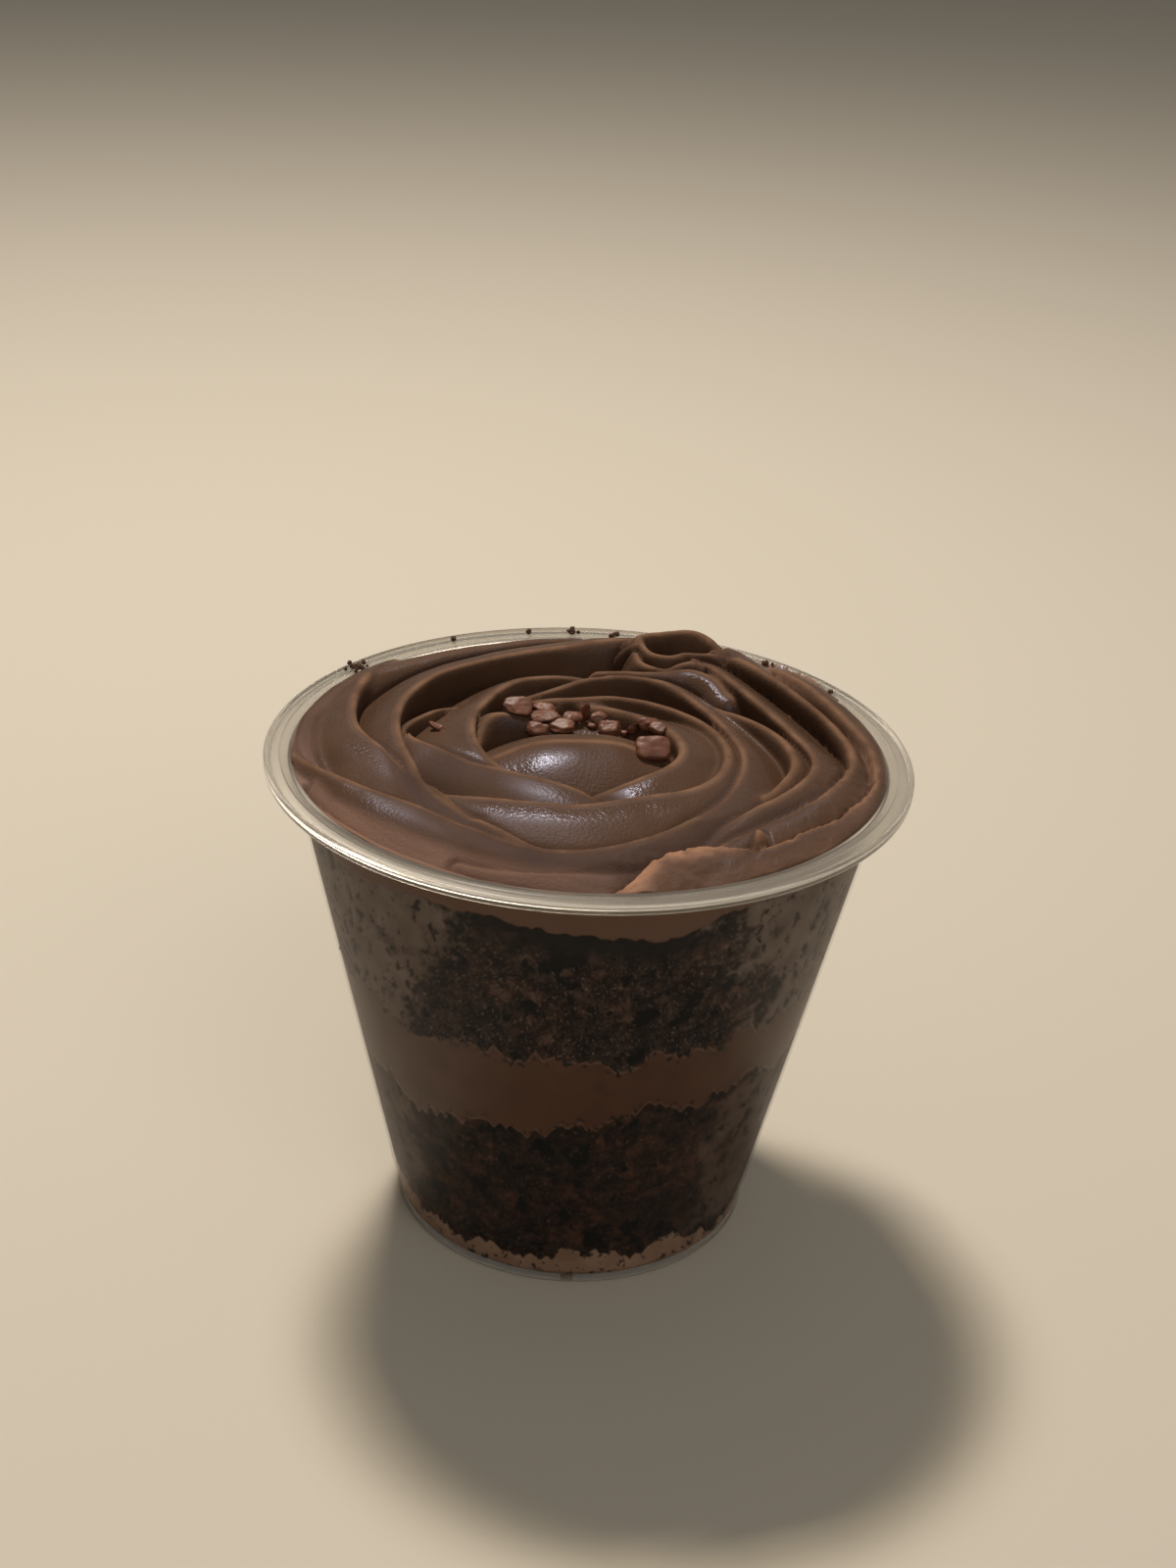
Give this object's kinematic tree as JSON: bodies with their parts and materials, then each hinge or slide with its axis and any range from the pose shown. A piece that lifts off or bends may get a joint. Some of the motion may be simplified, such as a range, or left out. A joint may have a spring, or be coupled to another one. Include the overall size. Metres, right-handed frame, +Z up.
{
  "type": "chocolate cake cup",
  "caption": "Clear plastic cup of chocolate cake and chocolate cream in layers, with a piped rose of chocolate frosting standing above the rim.",
  "frame": {"origin": "on the table under the axis of the cup", "axes": "+Z up along the axis of the cup; -Y is the front; the rope of frosting ends in a curl towards +Y"},
  "size_m": [0.092, 0.092, 0.078],
  "materials": {
    "clear_plastic": "smooth clear plastic",
    "pale_cream": "soft cream seen through plastic",
    "chocolate_cake": "open dark crumb, matt",
    "chocolate_cream": "smooth dark cream, satin",
    "chocolate_frosting": "smooth piped frosting, satin with wet highlights"
  },
  "bodies": {
    "root": {"cup": "clear_plastic", "base_cream": "pale_cream", "lower_cake": "chocolate_cake", "cream_filling": "chocolate_cream", "upper_cake": "chocolate_cake", "top_frosting": "chocolate_frosting"}
  },
  "joints": []
}
